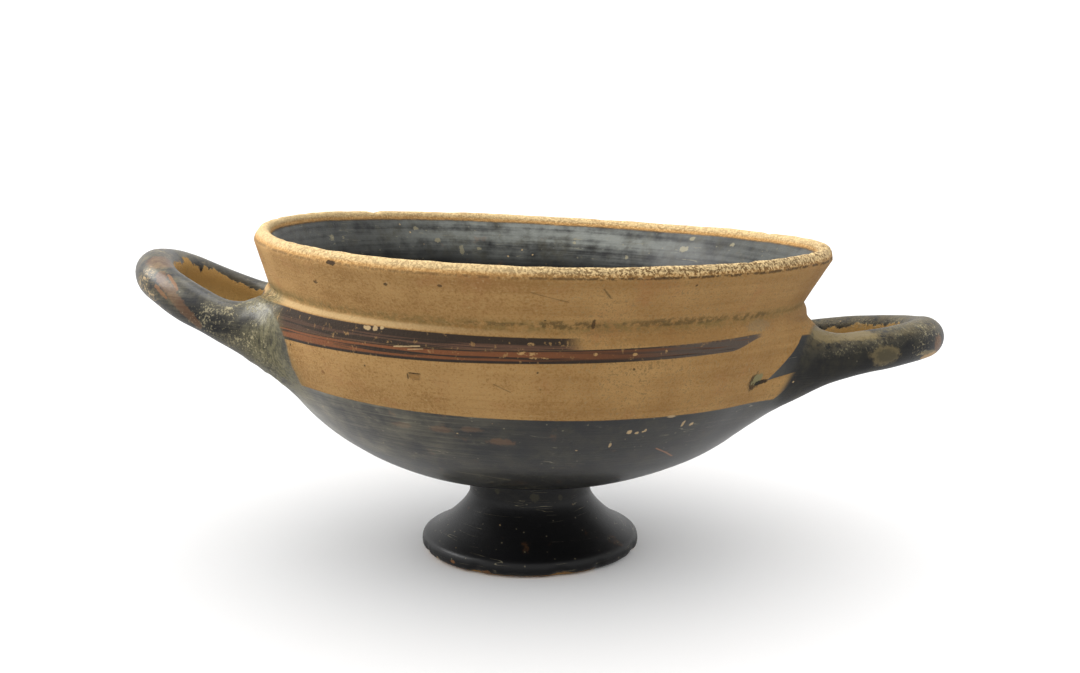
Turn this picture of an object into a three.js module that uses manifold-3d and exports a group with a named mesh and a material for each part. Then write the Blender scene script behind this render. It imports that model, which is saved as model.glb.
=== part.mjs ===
// A wheel-thrown drinking cup of fired clay: a wide shallow bowl with an offset lip, on a low
// trumpet foot, with two horizontal loop handles. Bowl, foot and handles are one fired piece.
// Millimetres, +Z up. The cup stands level on its foot, and its bowl leans a little on it.
import * as THREE from 'three';
import { mergeVertices } from 'three/addons/utils/BufferGeometryUtils.js';
import Module from 'manifold-3d';

// Foot and stem
const footRadius = 26.5;
const footBaseRadius = 22.5;
const footEdgeHeight = 4.2;
const stemRadius = 14.7;
const stemHeight = 14.5;
const stemTopRadius = 15.4;
const footRingWidth = 2.8;
const footHollowHeight = 12.5;
const footEdgeRound = 1.1;
const footSlope = { inset: 4.6, rise: 1.2 };
const waistLength = 3;

// Bowl
const bowlBottomHeight = 20;
const shoulderRadius = 65.5;
const shoulderHeight = 57;
const wall = 4.2;
const floorThickness = 4.2;
const outsideFullness = { low: 0.5, high: 0.53 };
const insideFullness = { low: 0.4, high: 0.5 };
const shoulderTurnIn = 3.2;

// Lip, which stands outward above a shallow groove at the shoulder
const grooveHeight = 63.7;
const grooveDepth = 0.6;
const grooveStep = 0.5;
const ridgeDrop = 1.4;
const ridgeRound = 0.4;
const lipStep = 0.9;
const lipFlare = { out: 1.1, up: 4 };
const lipRadius = 70.3;
const rimHeight = 76.7;
const lipWall = 3.4;
const lipBeadHeight = 2.8;

// Handles: each is a round rod bent to a loop, with both ends spread onto the wall
const handleSpread = 52;
const rootFlareReach = 12;
const rootEmbed = 8;
const loopSquareness = 0.9;
const leftHandle = {
  side: -1,
  rootHeight: 52.2,
  reach: 32.7,
  lift: 14.5,
  tipCurl: 4.7,
  roll: -2,
  rod: 8.8,
  tipRod: 9.2,
  rootFlare: 3.6,
};
const rightHandle = {
  side: 1,
  rootHeight: 48.6,
  reach: 37.4,
  lift: 12.2,
  tipCurl: -0.8,
  roll: -6,
  rod: 9.7,
  tipRod: 9.3,
  rootFlare: 4.6,
};

// Uneven making: the bowl leans on its foot and the mouth is neither round nor level
const leanRight = 2.2;
const leanBack = 1.8;
const bowlShift = -1.2;
const mouthOval = -2.9;
const mouthPullRight = 2.8;
const bellyPullRight = 0.8;
const pullDepth = 26.2;
const leanStart = 0.5;
const rimWaveAcross = 0.6;
const rimWaveDiagonal = -0.55;

// Fineness of the faces
const turnSteps = 56;
const rodSides = 12;
const loopSteps = 22;

const degrees = Math.PI / 180;
const wasm = await Module();
wasm.setup();

function toSolid(geometry) {
  const bare = geometry.clone();
  bare.deleteAttribute('normal');
  bare.deleteAttribute('uv');
  const merged = mergeVertices(bare, 1e-4);
  const corners = [];
  for (let i = 0; i < merged.index.count; i += 3) {
    const [a, b, c] = [0, 1, 2].map((k) => merged.index.getX(i + k));
    if (a !== b && b !== c && c !== a) corners.push(a, b, c);
  }
  return new wasm.Manifold(new wasm.Mesh({
    numProp: 3,
    vertProperties: new Float32Array(merged.attributes.position.array),
    triVerts: new Uint32Array(corners),
  }));
}

function toGeometry(solid) {
  const mesh = solid.getMesh();
  const geometry = new THREE.BufferGeometry();
  geometry.setAttribute('position', new THREE.BufferAttribute(mesh.vertProperties, 3));
  geometry.setIndex(new THREE.BufferAttribute(mesh.triVerts, 1));
  geometry.computeVertexNormals();
  return geometry;
}

function moveVertices(geometry, move) {
  const place = geometry.attributes.position;
  const point = new THREE.Vector3();
  for (let i = 0; i < place.count; i += 1) {
    point.fromBufferAttribute(place, i);
    move(point);
    place.setXYZ(i, point.x, point.y, point.z);
  }
  return geometry;
}

// An outline is a list of curves with the number of steps that each needs
function traceOutline(stretches) {
  const points = [];
  for (const [curve, steps] of stretches) {
    const found = curve.getPoints(steps);
    if (points.length > 0) found.shift();
    points.push(...found);
  }
  return points;
}

function turn(outline) {
  return new THREE.LatheGeometry(outline, turnSteps).rotateX(Math.PI / 2);
}

const at = (radius, height) => new THREE.Vector2(radius, height);
const line = (from, to) => new THREE.LineCurve(from, to);
const bend = (from, pull, to) => new THREE.QuadraticBezierCurve(from, pull, to);
const sweep = (from, pullA, pullB, to) => new THREE.CubicBezierCurve(from, pullA, pullB, to);
const arc = (middle, wide, high, from, to) => new THREE.EllipseCurve(middle.x, middle.y, wide, high, from, to);

// Sizes that follow from those above
const bowlRise = shoulderHeight - bowlBottomHeight;
const bowlSpread = shoulderRadius - stemTopRadius;
const hollowRadius = footBaseRadius - footRingWidth;
const floorHeight = bowlBottomHeight + floorThickness;
const innerRadius = shoulderRadius - wall;
const ridgeHeight = grooveHeight - ridgeDrop;
const grooveRadius = shoulderRadius - grooveDepth - grooveStep;
const crestRadius = lipRadius - lipWall / 2;

function outerOutline() {
  const footEdge = at(footRadius, footEdgeHeight / 2);
  const footTop = at(footRadius - footEdgeRound, footEdgeHeight);
  const stemWaist = at(stemRadius, stemHeight);
  const bowlBottom = at(stemTopRadius, bowlBottomHeight);
  const shoulder = at(shoulderRadius, shoulderHeight);
  const ridge = at(shoulderRadius - ridgeRound, ridgeHeight);
  const groove = at(grooveRadius, grooveHeight);
  const lipFoot = at(shoulderRadius - grooveDepth, grooveHeight + lipStep);
  const beadEdge = at(lipRadius, rimHeight - lipBeadHeight);
  return [
    [bend(at(footBaseRadius, 0), at(footRadius, 0), footEdge), 3],
    [bend(footEdge, at(footRadius, footEdgeHeight - footEdgeRound / 2), footTop), 2],
    [sweep(footTop, at(footRadius - footSlope.inset, footEdgeHeight + footSlope.rise),
      at(stemRadius, stemHeight - waistLength), stemWaist), 6],
    [bend(stemWaist, at(stemRadius, bowlBottomHeight - waistLength / 2), bowlBottom), 2],
    [sweep(bowlBottom, at(stemTopRadius + outsideFullness.low * bowlSpread, bowlBottomHeight),
      at(shoulderRadius - shoulderTurnIn, shoulderHeight - outsideFullness.high * bowlRise), shoulder), 13],
    [bend(shoulder, at(shoulderRadius, ridgeHeight - ridgeDrop), ridge), 3],
    [line(ridge, groove), 1],
    [line(groove, lipFoot), 1],
    [bend(lipFoot, at(shoulderRadius + lipFlare.out, grooveHeight + lipFlare.up), beadEdge), 4],
    [arc(at(crestRadius, beadEdge.y), lipWall / 2, lipBeadHeight, 0, Math.PI / 2), 4],
  ];
}

function innerOutline() {
  const innerShoulder = at(innerRadius, shoulderHeight);
  const lipFoot = at(innerRadius + grooveStep, grooveHeight + lipStep);
  const lipEdge = at(lipRadius - lipWall, rimHeight - lipWall / 2);
  return [
    [arc(at(crestRadius, lipEdge.y), lipWall / 2, lipWall / 2, Math.PI / 2, Math.PI), 3],
    [bend(lipEdge, at(lipFoot.x + lipFlare.out / 2, lipFoot.y + lipFlare.up), lipFoot), 3],
    [line(lipFoot, innerShoulder), 1],
    [sweep(innerShoulder, at(innerRadius - shoulderTurnIn, shoulderHeight - insideFullness.high * bowlRise),
      at(stemTopRadius + insideFullness.low * bowlSpread, floorHeight), at(0, floorHeight)), 13],
  ];
}

function vessel() {
  const hollow = bend(at(0, footHollowHeight), at(hollowRadius / 2, footHollowHeight), at(hollowRadius, 0));
  const baseRing = line(at(hollowRadius, 0), at(footBaseRadius, 0));
  return turn(traceOutline([[hollow, 5], [baseRing, 1], ...outerOutline(), ...innerOutline()]));
}

// The core fills the bowl and half its wall, so that the handle ends stop inside the wall
function bowlCore() {
  const half = wall / 2;
  const bottom = bowlBottomHeight + half;
  const shoulder = at(shoulderRadius - half, shoulderHeight);
  const groove = at(grooveRadius - half, grooveHeight);
  const crest = at(crestRadius, rimHeight);
  return turn(traceOutline([
    [sweep(at(0, bottom), at(stemTopRadius + insideFullness.low * bowlSpread, bottom),
      at(shoulder.x - shoulderTurnIn, shoulderHeight - insideFullness.high * bowlRise), shoulder), 16],
    [line(shoulder, groove), 1],
    [line(groove, crest), 1],
    [line(crest, at(0, rimHeight)), 1],
  ]));
}

// The rod's centre line: straight inside the wall, then half a rounded loop, then straight again
function loopPoints(handle) {
  const rootX = shoulderRadius - rootEmbed;
  const half = handleSpread / 2;
  const lift = handle.lift * degrees;
  const roll = Math.tan(handle.roll * degrees);
  const points = [];
  const add = (across, out) => points.push(new THREE.Vector3(
    handle.side * (rootX + out * Math.cos(lift)),
    across,
    handle.rootHeight + out * Math.sin(lift) + handle.tipCurl * (out / handle.reach) ** 2 + roll * across,
  ));
  add(-half, -rootEmbed);
  add(-half, -rootEmbed / 2);
  for (let i = 0; i <= loopSteps; i += 1) {
    const angle = (Math.PI * i) / loopSteps;
    const across = -Math.sign(Math.cos(angle)) * Math.abs(Math.cos(angle)) ** loopSquareness;
    const out = Math.sin(angle) ** loopSquareness;
    add(half * across, i === loopSteps ? 0 : handle.reach * out);
  }
  add(half, -rootEmbed / 2);
  add(half, -rootEmbed);
  return points;
}

function rodRadius(handle, point) {
  const gap = Math.hypot(point.x, point.y) - shoulderRadius;
  const nearWall = 1 - THREE.MathUtils.smoothstep(gap, -rootFlareReach / 2, rootFlareReach);
  const nearTip = THREE.MathUtils.smoothstep(gap, 0, handle.reach - rootEmbed);
  return (handle.rod + handle.rootFlare * nearWall + (handle.tipRod - handle.rod) * nearTip) / 2;
}

function handleLoop(handle) {
  const points = loopPoints(handle);
  const last = points.length - 1;
  const rod = new THREE.CylinderGeometry(1, 1, last, rodSides, last);
  const up = new THREE.Vector3(0, 0, 1);
  return moveVertices(rod, (point) => {
    const step = Math.round(point.y + last / 2);
    const centre = points[step];
    const ahead = points[Math.min(step + 1, last)].clone().sub(points[Math.max(step - 1, 0)]).normalize();
    const side = ahead.clone().cross(up).normalize();
    const above = side.clone().cross(ahead);
    const radius = rodRadius(handle, centre);
    point.copy(centre.clone().addScaledVector(side, point.x * radius).addScaledVector(above, point.z * radius));
  });
}

// The mouth is pulled oval and its edge rises and falls; the belly swells a little to one side
function pullWall(point) {
  const angle = Math.atan2(point.y, point.x);
  const rise = THREE.MathUtils.clamp((point.z - stemHeight) / (rimHeight - stemHeight), 0, 1);
  const flare = THREE.MathUtils.clamp((point.z - rimHeight + pullDepth) / pullDepth, 0, 1);
  const share = THREE.MathUtils.clamp((point.z - bowlBottomHeight) / bowlRise, 0, 1);
  const belly = Math.sin(Math.PI * share * share);
  const pull = flare * (mouthPullRight * Math.cos(angle) + mouthOval * Math.cos(2 * angle))
    + belly * bellyPullRight * Math.cos(angle);
  const wave = rise * (rimWaveAcross * Math.cos(2 * angle) + rimWaveDiagonal * Math.sin(2 * angle));
  point.x *= 1 + pull / lipRadius;
  point.y *= 1 + pull / lipRadius;
  point.z += wave;
}

function leanBowl(point) {
  const held = THREE.MathUtils.smoothstep(point.z, stemHeight - leanStart, 2 * (stemHeight - leanStart));
  const up = point.z - bowlBottomHeight;
  const right = Math.sin(leanRight * degrees);
  const back = Math.sin(leanBack * degrees);
  const drop = point.x * right + point.y * back;
  point.x += held * (up * right + bowlShift);
  point.y += held * up * back;
  point.z -= held * drop;
}

function cupSolid() {
  const core = toSolid(moveVertices(bowlCore(), pullWall));
  let cup = toSolid(moveVertices(vessel(), pullWall));
  for (const handle of [leftHandle, rightHandle]) {
    cup = cup.add(toSolid(handleLoop(handle)).subtract(core));
  }
  return cup;
}

const cupGeometry = moveVertices(toGeometry(cupSolid()), leanBowl);
cupGeometry.computeBoundingBox();
const middle = cupGeometry.boundingBox.getCenter(new THREE.Vector3());
cupGeometry.translate(-middle.x, -middle.y, 0);

const firedClay = new THREE.MeshStandardMaterial({ color: 0x9a7045, roughness: 0.6, metalness: 0 });

const cup = new THREE.Mesh(cupGeometry, firedClay);
cup.name = 'cup';

const drinkingCup = new THREE.Group();
drinkingCup.add(cup);

export default drinkingCup;
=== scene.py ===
import math
from types import SimpleNamespace

import bpy
import numpy as np
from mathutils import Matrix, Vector, noise


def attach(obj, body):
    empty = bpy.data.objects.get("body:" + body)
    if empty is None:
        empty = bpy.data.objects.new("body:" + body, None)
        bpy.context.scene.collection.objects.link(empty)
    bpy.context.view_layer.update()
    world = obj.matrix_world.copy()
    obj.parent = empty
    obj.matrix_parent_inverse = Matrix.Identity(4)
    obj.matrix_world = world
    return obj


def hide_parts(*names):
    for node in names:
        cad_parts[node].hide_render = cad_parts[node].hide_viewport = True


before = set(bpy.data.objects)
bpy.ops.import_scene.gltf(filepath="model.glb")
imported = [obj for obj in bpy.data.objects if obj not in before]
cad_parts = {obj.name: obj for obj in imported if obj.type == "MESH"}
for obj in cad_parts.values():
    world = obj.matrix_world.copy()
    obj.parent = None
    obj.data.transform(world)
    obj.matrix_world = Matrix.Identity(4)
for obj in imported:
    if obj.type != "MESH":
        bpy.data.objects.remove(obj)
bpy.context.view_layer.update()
print("the packed cup is loaded")

mm = 0.001  # the cup is modelled in millimetres and brought to metres at the end

# The foot's axis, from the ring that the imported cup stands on
standing = np.array([v.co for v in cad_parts["cup"].data.vertices if v.co.z < 0.1 * mm])
footAxis = (standing.min(axis=0) + standing.max(axis=0)) / 2 / mm


# Outlines, as pairs of radius and height

def bend(start, pull, end, steps):
    shares = np.linspace(0, 1, steps + 1)[:, None]
    first = np.array(start) * (1 - shares) + np.array(pull) * shares
    second = np.array(pull) * (1 - shares) + np.array(end) * shares
    return first * (1 - shares) + second * shares


def sweep(start, pullA, pullB, end, steps):
    shares = np.linspace(0, 1, steps + 1)[:, None]
    early = bend(start, pullA, pullB, steps)
    late = bend(pullA, pullB, end, steps)
    return early * (1 - shares) + late * shares


def line(start, end, steps):
    shares = np.linspace(0, 1, steps + 1)[:, None]
    return np.array(start) * (1 - shares) + np.array(end) * shares


def arc(middle, wide, high, first, last, steps):
    angles = np.radians(np.linspace(first, last, steps + 1))
    return np.stack([middle[0] + wide * np.cos(angles), middle[1] + high * np.sin(angles)], axis=1)


def chain(*stretches):
    return np.concatenate([stretches[0]] + [stretch[1:] for stretch in stretches[1:]])


vesselSizes = {
    "footRadius": 26.5, "footBaseRadius": 22.5, "footEdgeHeight": 4.2, "footEdgeRound": 1.1,
    "footSlopeInset": 4.6, "footSlopeRise": 1.2, "footRingWidth": 2.8, "footHollowHeight": 12.5,
    "stemRadius": 14.7, "stemHeight": 14.5, "stemTopRadius": 15.4, "waistLength": 3,
    "bowlBottomHeight": 20, "shoulderRadius": 65.5, "shoulderHeight": 57, "shoulderTurnIn": 3.2,
    "outsideLow": 0.5, "outsideHigh": 0.53, "insideLow": 0.4, "insideHigh": 0.5,
    "wall": 4.2, "floorThickness": 4.2,
    "ridgeDrop": 1.4, "ridgeRound": 0.4, "grooveHeight": 63.7, "grooveDepth": 0.6, "grooveStep": 0.5,
    "lipStep": 0.9, "lipFlareOut": 1.1, "lipFlareUp": 4, "lipRadius": 70.3, "lipWall": 3.4,
    "lipBeadHeight": 2.8, "rimHeight": 76.7,
    "turnSteps": 352, "coreSteps": 96,
}
vs = vesselSizes
bowlRise = vs["shoulderHeight"] - vs["bowlBottomHeight"]
bowlSpread = vs["shoulderRadius"] - vs["stemTopRadius"]
innerRadius = vs["shoulderRadius"] - vs["wall"]
crestRadius = vs["lipRadius"] - vs["lipWall"] / 2


def outerOutline():
    footEdge = (vs["footRadius"], vs["footEdgeHeight"] / 2)
    footTop = (vs["footRadius"] - vs["footEdgeRound"], vs["footEdgeHeight"])
    waist = (vs["stemRadius"], vs["stemHeight"])
    bottom = (vs["stemTopRadius"], vs["bowlBottomHeight"])
    shoulder = (vs["shoulderRadius"], vs["shoulderHeight"])
    ridge = (vs["shoulderRadius"] - vs["ridgeRound"], vs["grooveHeight"] - vs["ridgeDrop"])
    groove = (vs["shoulderRadius"] - vs["grooveDepth"] - vs["grooveStep"], vs["grooveHeight"])
    lipFoot = (vs["shoulderRadius"] - vs["grooveDepth"], vs["grooveHeight"] + vs["lipStep"])
    bead = (vs["lipRadius"], vs["rimHeight"] - vs["lipBeadHeight"])
    return chain(
        bend((vs["footBaseRadius"], 0), (vs["footRadius"], 0), footEdge, 6),
        bend(footEdge, (vs["footRadius"], footTop[1] - vs["footEdgeRound"] / 2), footTop, 4),
        sweep(footTop, (vs["footRadius"] - vs["footSlopeInset"], footTop[1] + vs["footSlopeRise"]),
              (vs["stemRadius"], vs["stemHeight"] - vs["waistLength"]), waist, 16),
        bend(waist, (vs["stemRadius"], vs["bowlBottomHeight"] - vs["waistLength"] / 2), bottom, 5),
        sweep(bottom, (vs["stemTopRadius"] + vs["outsideLow"] * bowlSpread, vs["bowlBottomHeight"]),
              (vs["shoulderRadius"] - vs["shoulderTurnIn"],
               vs["shoulderHeight"] - vs["outsideHigh"] * bowlRise), shoulder, 60),
        bend(shoulder, (vs["shoulderRadius"], ridge[1] - vs["ridgeDrop"]), ridge, 7),
        line(ridge, groove, 3),
        line(groove, lipFoot, 2),
        bend(lipFoot, (vs["shoulderRadius"] + vs["lipFlareOut"], vs["grooveHeight"] + vs["lipFlareUp"]),
             bead, 12),
        arc((crestRadius, bead[1]), vs["lipWall"] / 2, vs["lipBeadHeight"], 0, 90, 7),
    )


def innerOutline():
    edgeHeight = vs["rimHeight"] - vs["lipWall"] / 2
    lipEdge = (vs["lipRadius"] - vs["lipWall"], edgeHeight)
    lipFoot = (innerRadius + vs["grooveStep"], vs["grooveHeight"] + vs["lipStep"])
    shoulder = (innerRadius, vs["shoulderHeight"])
    floorHeight = vs["bowlBottomHeight"] + vs["floorThickness"]
    return chain(
        arc((crestRadius, edgeHeight), vs["lipWall"] / 2, vs["lipWall"] / 2, 90, 180, 5),
        bend(lipEdge, (lipFoot[0] + vs["lipFlareOut"] / 2, lipFoot[1] + vs["lipFlareUp"]), lipFoot, 10),
        line(lipFoot, shoulder, 6),
        sweep(shoulder,
              (innerRadius - vs["shoulderTurnIn"], vs["shoulderHeight"] - vs["insideHigh"] * bowlRise),
              (vs["stemTopRadius"] + vs["insideLow"] * bowlSpread, floorHeight), (0, floorHeight), 60),
    )


def vesselOutline():
    hollowRadius = vs["footBaseRadius"] - vs["footRingWidth"]
    hollowTop = (0, vs["footHollowHeight"])
    return chain(
        bend(hollowTop, (hollowRadius / 2, vs["footHollowHeight"]), (hollowRadius, 0), 14),
        line((hollowRadius, 0), (vs["footBaseRadius"], 0), 3),
        outerOutline(),
        innerOutline(),
    )


# The core fills the bowl and half its wall, so that the handle ends stop inside the wall
def coreOutline():
    half = vs["wall"] / 2
    bottom = vs["bowlBottomHeight"] + half
    shoulder = (vs["shoulderRadius"] - half, vs["shoulderHeight"])
    groove = (vs["shoulderRadius"] - vs["grooveDepth"] - vs["grooveStep"] - half, vs["grooveHeight"])
    crest = (crestRadius, vs["rimHeight"])
    return chain(
        sweep((0, bottom), (vs["stemTopRadius"] + vs["insideLow"] * bowlSpread, bottom),
              (shoulder[0] - vs["shoulderTurnIn"], vs["shoulderHeight"] - vs["insideHigh"] * bowlRise),
              shoulder, 20),
        line(shoulder, groove, 1),
        line(groove, crest, 1),
        line(crest, (0, vs["rimHeight"]), 1),
    )


# Modelling by operators

def turnOutline(name, points, steps):
    bpy.ops.object.select_all(action="DESELECT")
    bpy.ops.mesh.primitive_plane_add(size=1)
    turned = bpy.context.object
    turned.name = name
    bpy.ops.object.mode_set(mode="EDIT")
    bpy.ops.mesh.merge(type="CENTER")
    bpy.ops.transform.translate(value=(points[0][0], 0, points[0][1]))
    for before, after in zip(points, points[1:]):
        step = (after[0] - before[0], 0, after[1] - before[1])
        bpy.ops.mesh.extrude_region_move(TRANSFORM_OT_translate={"value": step})
    bpy.ops.mesh.select_all(action="SELECT")
    bpy.ops.mesh.spin(steps=steps, angle=2 * math.pi, center=(0, 0, 0), axis=(0, 0, 1))
    bpy.ops.mesh.select_all(action="SELECT")
    bpy.ops.mesh.remove_doubles(threshold=0.01)
    bpy.ops.mesh.normals_make_consistent(inside=False)
    bpy.ops.object.mode_set(mode="OBJECT")
    return turned


def combine(target, tool, operation):
    bpy.ops.object.select_all(action="DESELECT")
    target.select_set(True)
    bpy.context.view_layer.objects.active = target
    step = target.modifiers.new("combine", "BOOLEAN")
    step.operation = operation
    step.solver = "EXACT"
    step.object = tool
    bpy.ops.object.modifier_apply(modifier=step.name)


def readPlaces(mesh):
    places = np.empty(len(mesh.vertices) * 3)
    mesh.vertices.foreach_get("co", places)
    return places.reshape(-1, 3)


def writePlaces(mesh, places):
    mesh.vertices.foreach_set("co", places.astype(np.float32).ravel())
    mesh.update()


def readNormals(mesh):
    normals = np.empty(len(mesh.vertices) * 3)
    mesh.vertex_normals.foreach_get("vector", normals)
    return normals.reshape(-1, 3)


# Uneven making: the mouth is pulled oval, its edge rises and falls, and the bowl leans on its foot
unevenness = {
    "leanRight": 2.2, "leanBack": 1.8, "bowlShift": -1.2, "leanStart": 0.5,
    "mouthOval": -2.9, "mouthPullRight": 2.8, "bellyPullRight": 0.8, "pullDepth": 26.2,
    "rimWaveAcross": 0.6, "rimWaveDiagonal": -0.55,
}


def smoothStep(values, low, high):
    share = np.clip((values - low) / (high - low), 0, 1)
    return share * share * (3 - 2 * share)


def pullWall(places):
    x, y, z = places.T
    angle = np.arctan2(y, x)
    rise = np.clip((z - vs["stemHeight"]) / (vs["rimHeight"] - vs["stemHeight"]), 0, 1)
    flare = np.clip((z - vs["rimHeight"]) / unevenness["pullDepth"] + 1, 0, 1)
    share = np.clip((z - vs["bowlBottomHeight"]) / bowlRise, 0, 1)
    belly = np.sin(math.pi * share * share) * unevenness["bellyPullRight"] * np.cos(angle)
    oval = unevenness["mouthPullRight"] * np.cos(angle) + unevenness["mouthOval"] * np.cos(2 * angle)
    wave = unevenness["rimWaveAcross"] * np.cos(2 * angle) + unevenness["rimWaveDiagonal"] * np.sin(2 * angle)
    grow = 1 + (flare * oval + belly) / vs["lipRadius"]
    return np.stack([x * grow, y * grow, z + rise * wave], axis=1)


# Where a point of the pulled wall was on the wheel
def unpullWall(places):
    found = places.copy()
    for _ in range(6):
        found += places - pullWall(found)
    return found


def leanBowl(places):
    x, y, z = places.T
    start = vs["stemHeight"] - unevenness["leanStart"]
    held = smoothStep(z, start, 2 * start)
    right = math.sin(math.radians(unevenness["leanRight"]))
    back = math.sin(math.radians(unevenness["leanBack"]))
    up = z - vs["bowlBottomHeight"]
    return np.stack([
        x + held * (up * right + unevenness["bowlShift"]),
        y + held * up * back,
        z - held * (x * right + y * back),
    ], axis=1)


# Handles: a round rod bent to a loop, with both ends spread onto the wall
loopSizes = {"spread": 52, "flareReach": 12, "embed": 8, "squareness": 0.9, "stations": 104, "bevelSteps": 14}
leftHandle = {
    "side": -1, "rootHeight": 52.2, "reach": 32.7, "lift": 14.5, "tipCurl": 4.7, "roll": -2, "farLift": 0,
    "rod": 8.8, "tipRod": 9.2, "rootFlare": 3.6,
}
rightHandle = {
    "side": 1, "rootHeight": 48.6, "reach": 37.4, "lift": 12.2, "tipCurl": -0.8, "roll": -6, "farLift": 1.3,
    "rod": 9.7, "tipRod": 9.3, "rootFlare": 4.6,
}


def loopPoints(handle):
    half = loopSizes["spread"] / 2
    embed = loopSizes["embed"]
    angles = np.linspace(0, math.pi, loopSizes["stations"] + 1)
    bow = -np.sign(np.cos(angles)) * np.abs(np.cos(angles)) ** loopSizes["squareness"]
    reach = handle["reach"] * np.clip(np.sin(angles), 0, 1) ** loopSizes["squareness"]
    ends = np.linspace(-embed, -embed / 5, 5)
    across = half * np.concatenate([np.full(5, -1), bow, np.full(5, 1)])
    out = np.concatenate([ends, reach, ends[::-1]])
    lift = math.radians(handle["lift"])
    roll = math.tan(math.radians(handle["roll"]))
    tilt = roll * across + handle["farLift"] * smoothStep(across, half / 3, half)
    return np.stack([
        handle["side"] * (vs["shoulderRadius"] - embed + out * math.cos(lift)),
        across,
        handle["rootHeight"] + out * math.sin(lift) + handle["tipCurl"] * (out / handle["reach"]) ** 2 + tilt,
    ], axis=1)


def loopRadii(handle, points):
    gap = np.hypot(points[:, 0], points[:, 1]) - vs["shoulderRadius"]
    nearWall = 1 - smoothStep(gap, -loopSizes["flareReach"] / 2, loopSizes["flareReach"])
    nearTip = smoothStep(gap, 0, handle["reach"] - loopSizes["embed"])
    return (handle["rod"] + handle["rootFlare"] * nearWall + (handle["tipRod"] - handle["rod"]) * nearTip) / 2


def bendRod(name, handle):
    points = loopPoints(handle)
    radii = loopRadii(handle, points)
    bpy.ops.object.select_all(action="DESELECT")
    bpy.ops.curve.primitive_nurbs_path_add()
    rod = bpy.context.object
    rod.name = name
    rod.data.splines.clear()
    spline = rod.data.splines.new("POLY")
    spline.points.add(len(points) - 1)
    for station, point, radius in zip(spline.points, points, radii):
        station.co = (*point, 1)
        station.radius = radius
    rod.data.dimensions = "3D"
    rod.data.twist_mode = "Z_UP"
    rod.data.bevel_depth = 1
    rod.data.bevel_resolution = loopSizes["bevelSteps"]
    rod.data.use_fill_caps = True
    bpy.ops.object.convert(target="MESH")
    bpy.ops.object.mode_set(mode="EDIT")
    bpy.ops.mesh.select_all(action="SELECT")
    bpy.ops.mesh.remove_doubles(threshold=0.01)
    bpy.ops.mesh.normals_make_consistent(inside=False)
    bpy.ops.object.mode_set(mode="OBJECT")
    return rod


vessel = turnOutline("cup_vessel", vesselOutline(), vs["turnSteps"])
writePlaces(vessel.data, pullWall(readPlaces(vessel.data)))
core = turnOutline("core", coreOutline(), vs["coreSteps"])
writePlaces(core.data, pullWall(readPlaces(core.data)))
print("the vessel is turned:", len(vessel.data.vertices), "points")

for rodName, handle in (("leftRod", leftHandle), ("rightRod", rightHandle)):
    rod = bendRod(rodName, handle)
    combine(rod, core, "DIFFERENCE")
    combine(vessel, rod, "UNION")
    bpy.data.objects.remove(rod)
bpy.data.objects.remove(core)
print("the handles are joined on:", len(vessel.data.vertices), "points")


# Distances in millimetres from the wall's outside and from the rods

wallLine = outerOutline()
wallSlope = np.gradient(wallLine[:, 0]) / np.maximum(np.gradient(wallLine[:, 1]), 0.02)


def wallGap(onWheel):
    radius = np.interp(onWheel[:, 2], wallLine[:, 1], wallLine[:, 0])
    slope = np.interp(onWheel[:, 2], wallLine[:, 1], wallSlope)
    return (np.hypot(onWheel[:, 0], onWheel[:, 1]) - radius) / np.hypot(1, slope)


# How far each point is from a rod and from its nearer end, and which way it faces from the centre line
def rodPlaces(places, handle):
    points = loopPoints(handle)
    radii = loopRadii(handle, points)
    ahead = np.gradient(points, axis=0)
    ahead /= np.linalg.norm(ahead, axis=1)[:, None]
    inward = np.cross(np.array([0, 0, handle["side"]]), ahead)
    inward /= np.linalg.norm(inward, axis=1)[:, None]
    above = np.cross(ahead, inward) * handle["side"]
    lengths = np.concatenate([[0], np.cumsum(np.linalg.norm(np.diff(points, axis=0), axis=1))])
    nearest = np.empty(len(places), int)
    batch = 4000  # places compared at a time
    for start in range(0, len(places), batch):
        part = places[start:start + batch]
        nearest[start:start + batch] = ((part[:, None] - points[None]) ** 2).sum(axis=2).argmin(axis=1)
    offset = places - points[nearest]
    slide = (offset * ahead[nearest]).sum(axis=1)
    offset -= slide[:, None] * ahead[nearest]
    distance = np.linalg.norm(offset, axis=1)
    facing = offset / np.maximum(distance, 1e-6)[:, None]
    along = lengths[nearest] + slide
    return {
        "gap": distance - radii[nearest],
        "facing": facing,
        "fromEnd": np.minimum(along, lengths[-1] - along),
        "inward": (facing * inward[nearest]).sum(axis=1),
        "up": (facing * above[nearest]).sum(axis=1),
    }


# Clay smeared on round each handle root, a little wider above the rod than below it
rootFillets = {
    "below": 9, "above": 10, "top": 64, "topFade": 2.5, "reach": 16, "passes": 12, "relax": 0.5,
    "nearest": 35, "headroom": 8, "skin": 0.9,
}


# The way out of the wall at each place
def wallOutward(places, onWheel):
    outward = places * [1, 1, 0]
    outward /= np.linalg.norm(outward, axis=1)[:, None]
    outward[:, 2] = -np.clip(np.interp(onWheel[:, 2], wallLine[:, 1], wallSlope), 0, 3)
    return outward / np.linalg.norm(outward, axis=1)[:, None]


# The middle of each chosen point's neighbours
def neighbourMiddles(places, edges, chosen):
    total = np.zeros_like(places)
    count = np.zeros(len(places))
    for one, other in ((0, 1), (1, 0)):
        np.add.at(total, edges[:, one], places[edges[:, other]])
        np.add.at(count, edges[:, one], 1)
    return total[chosen] / np.maximum(count[chosen], 1)[:, None]


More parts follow.
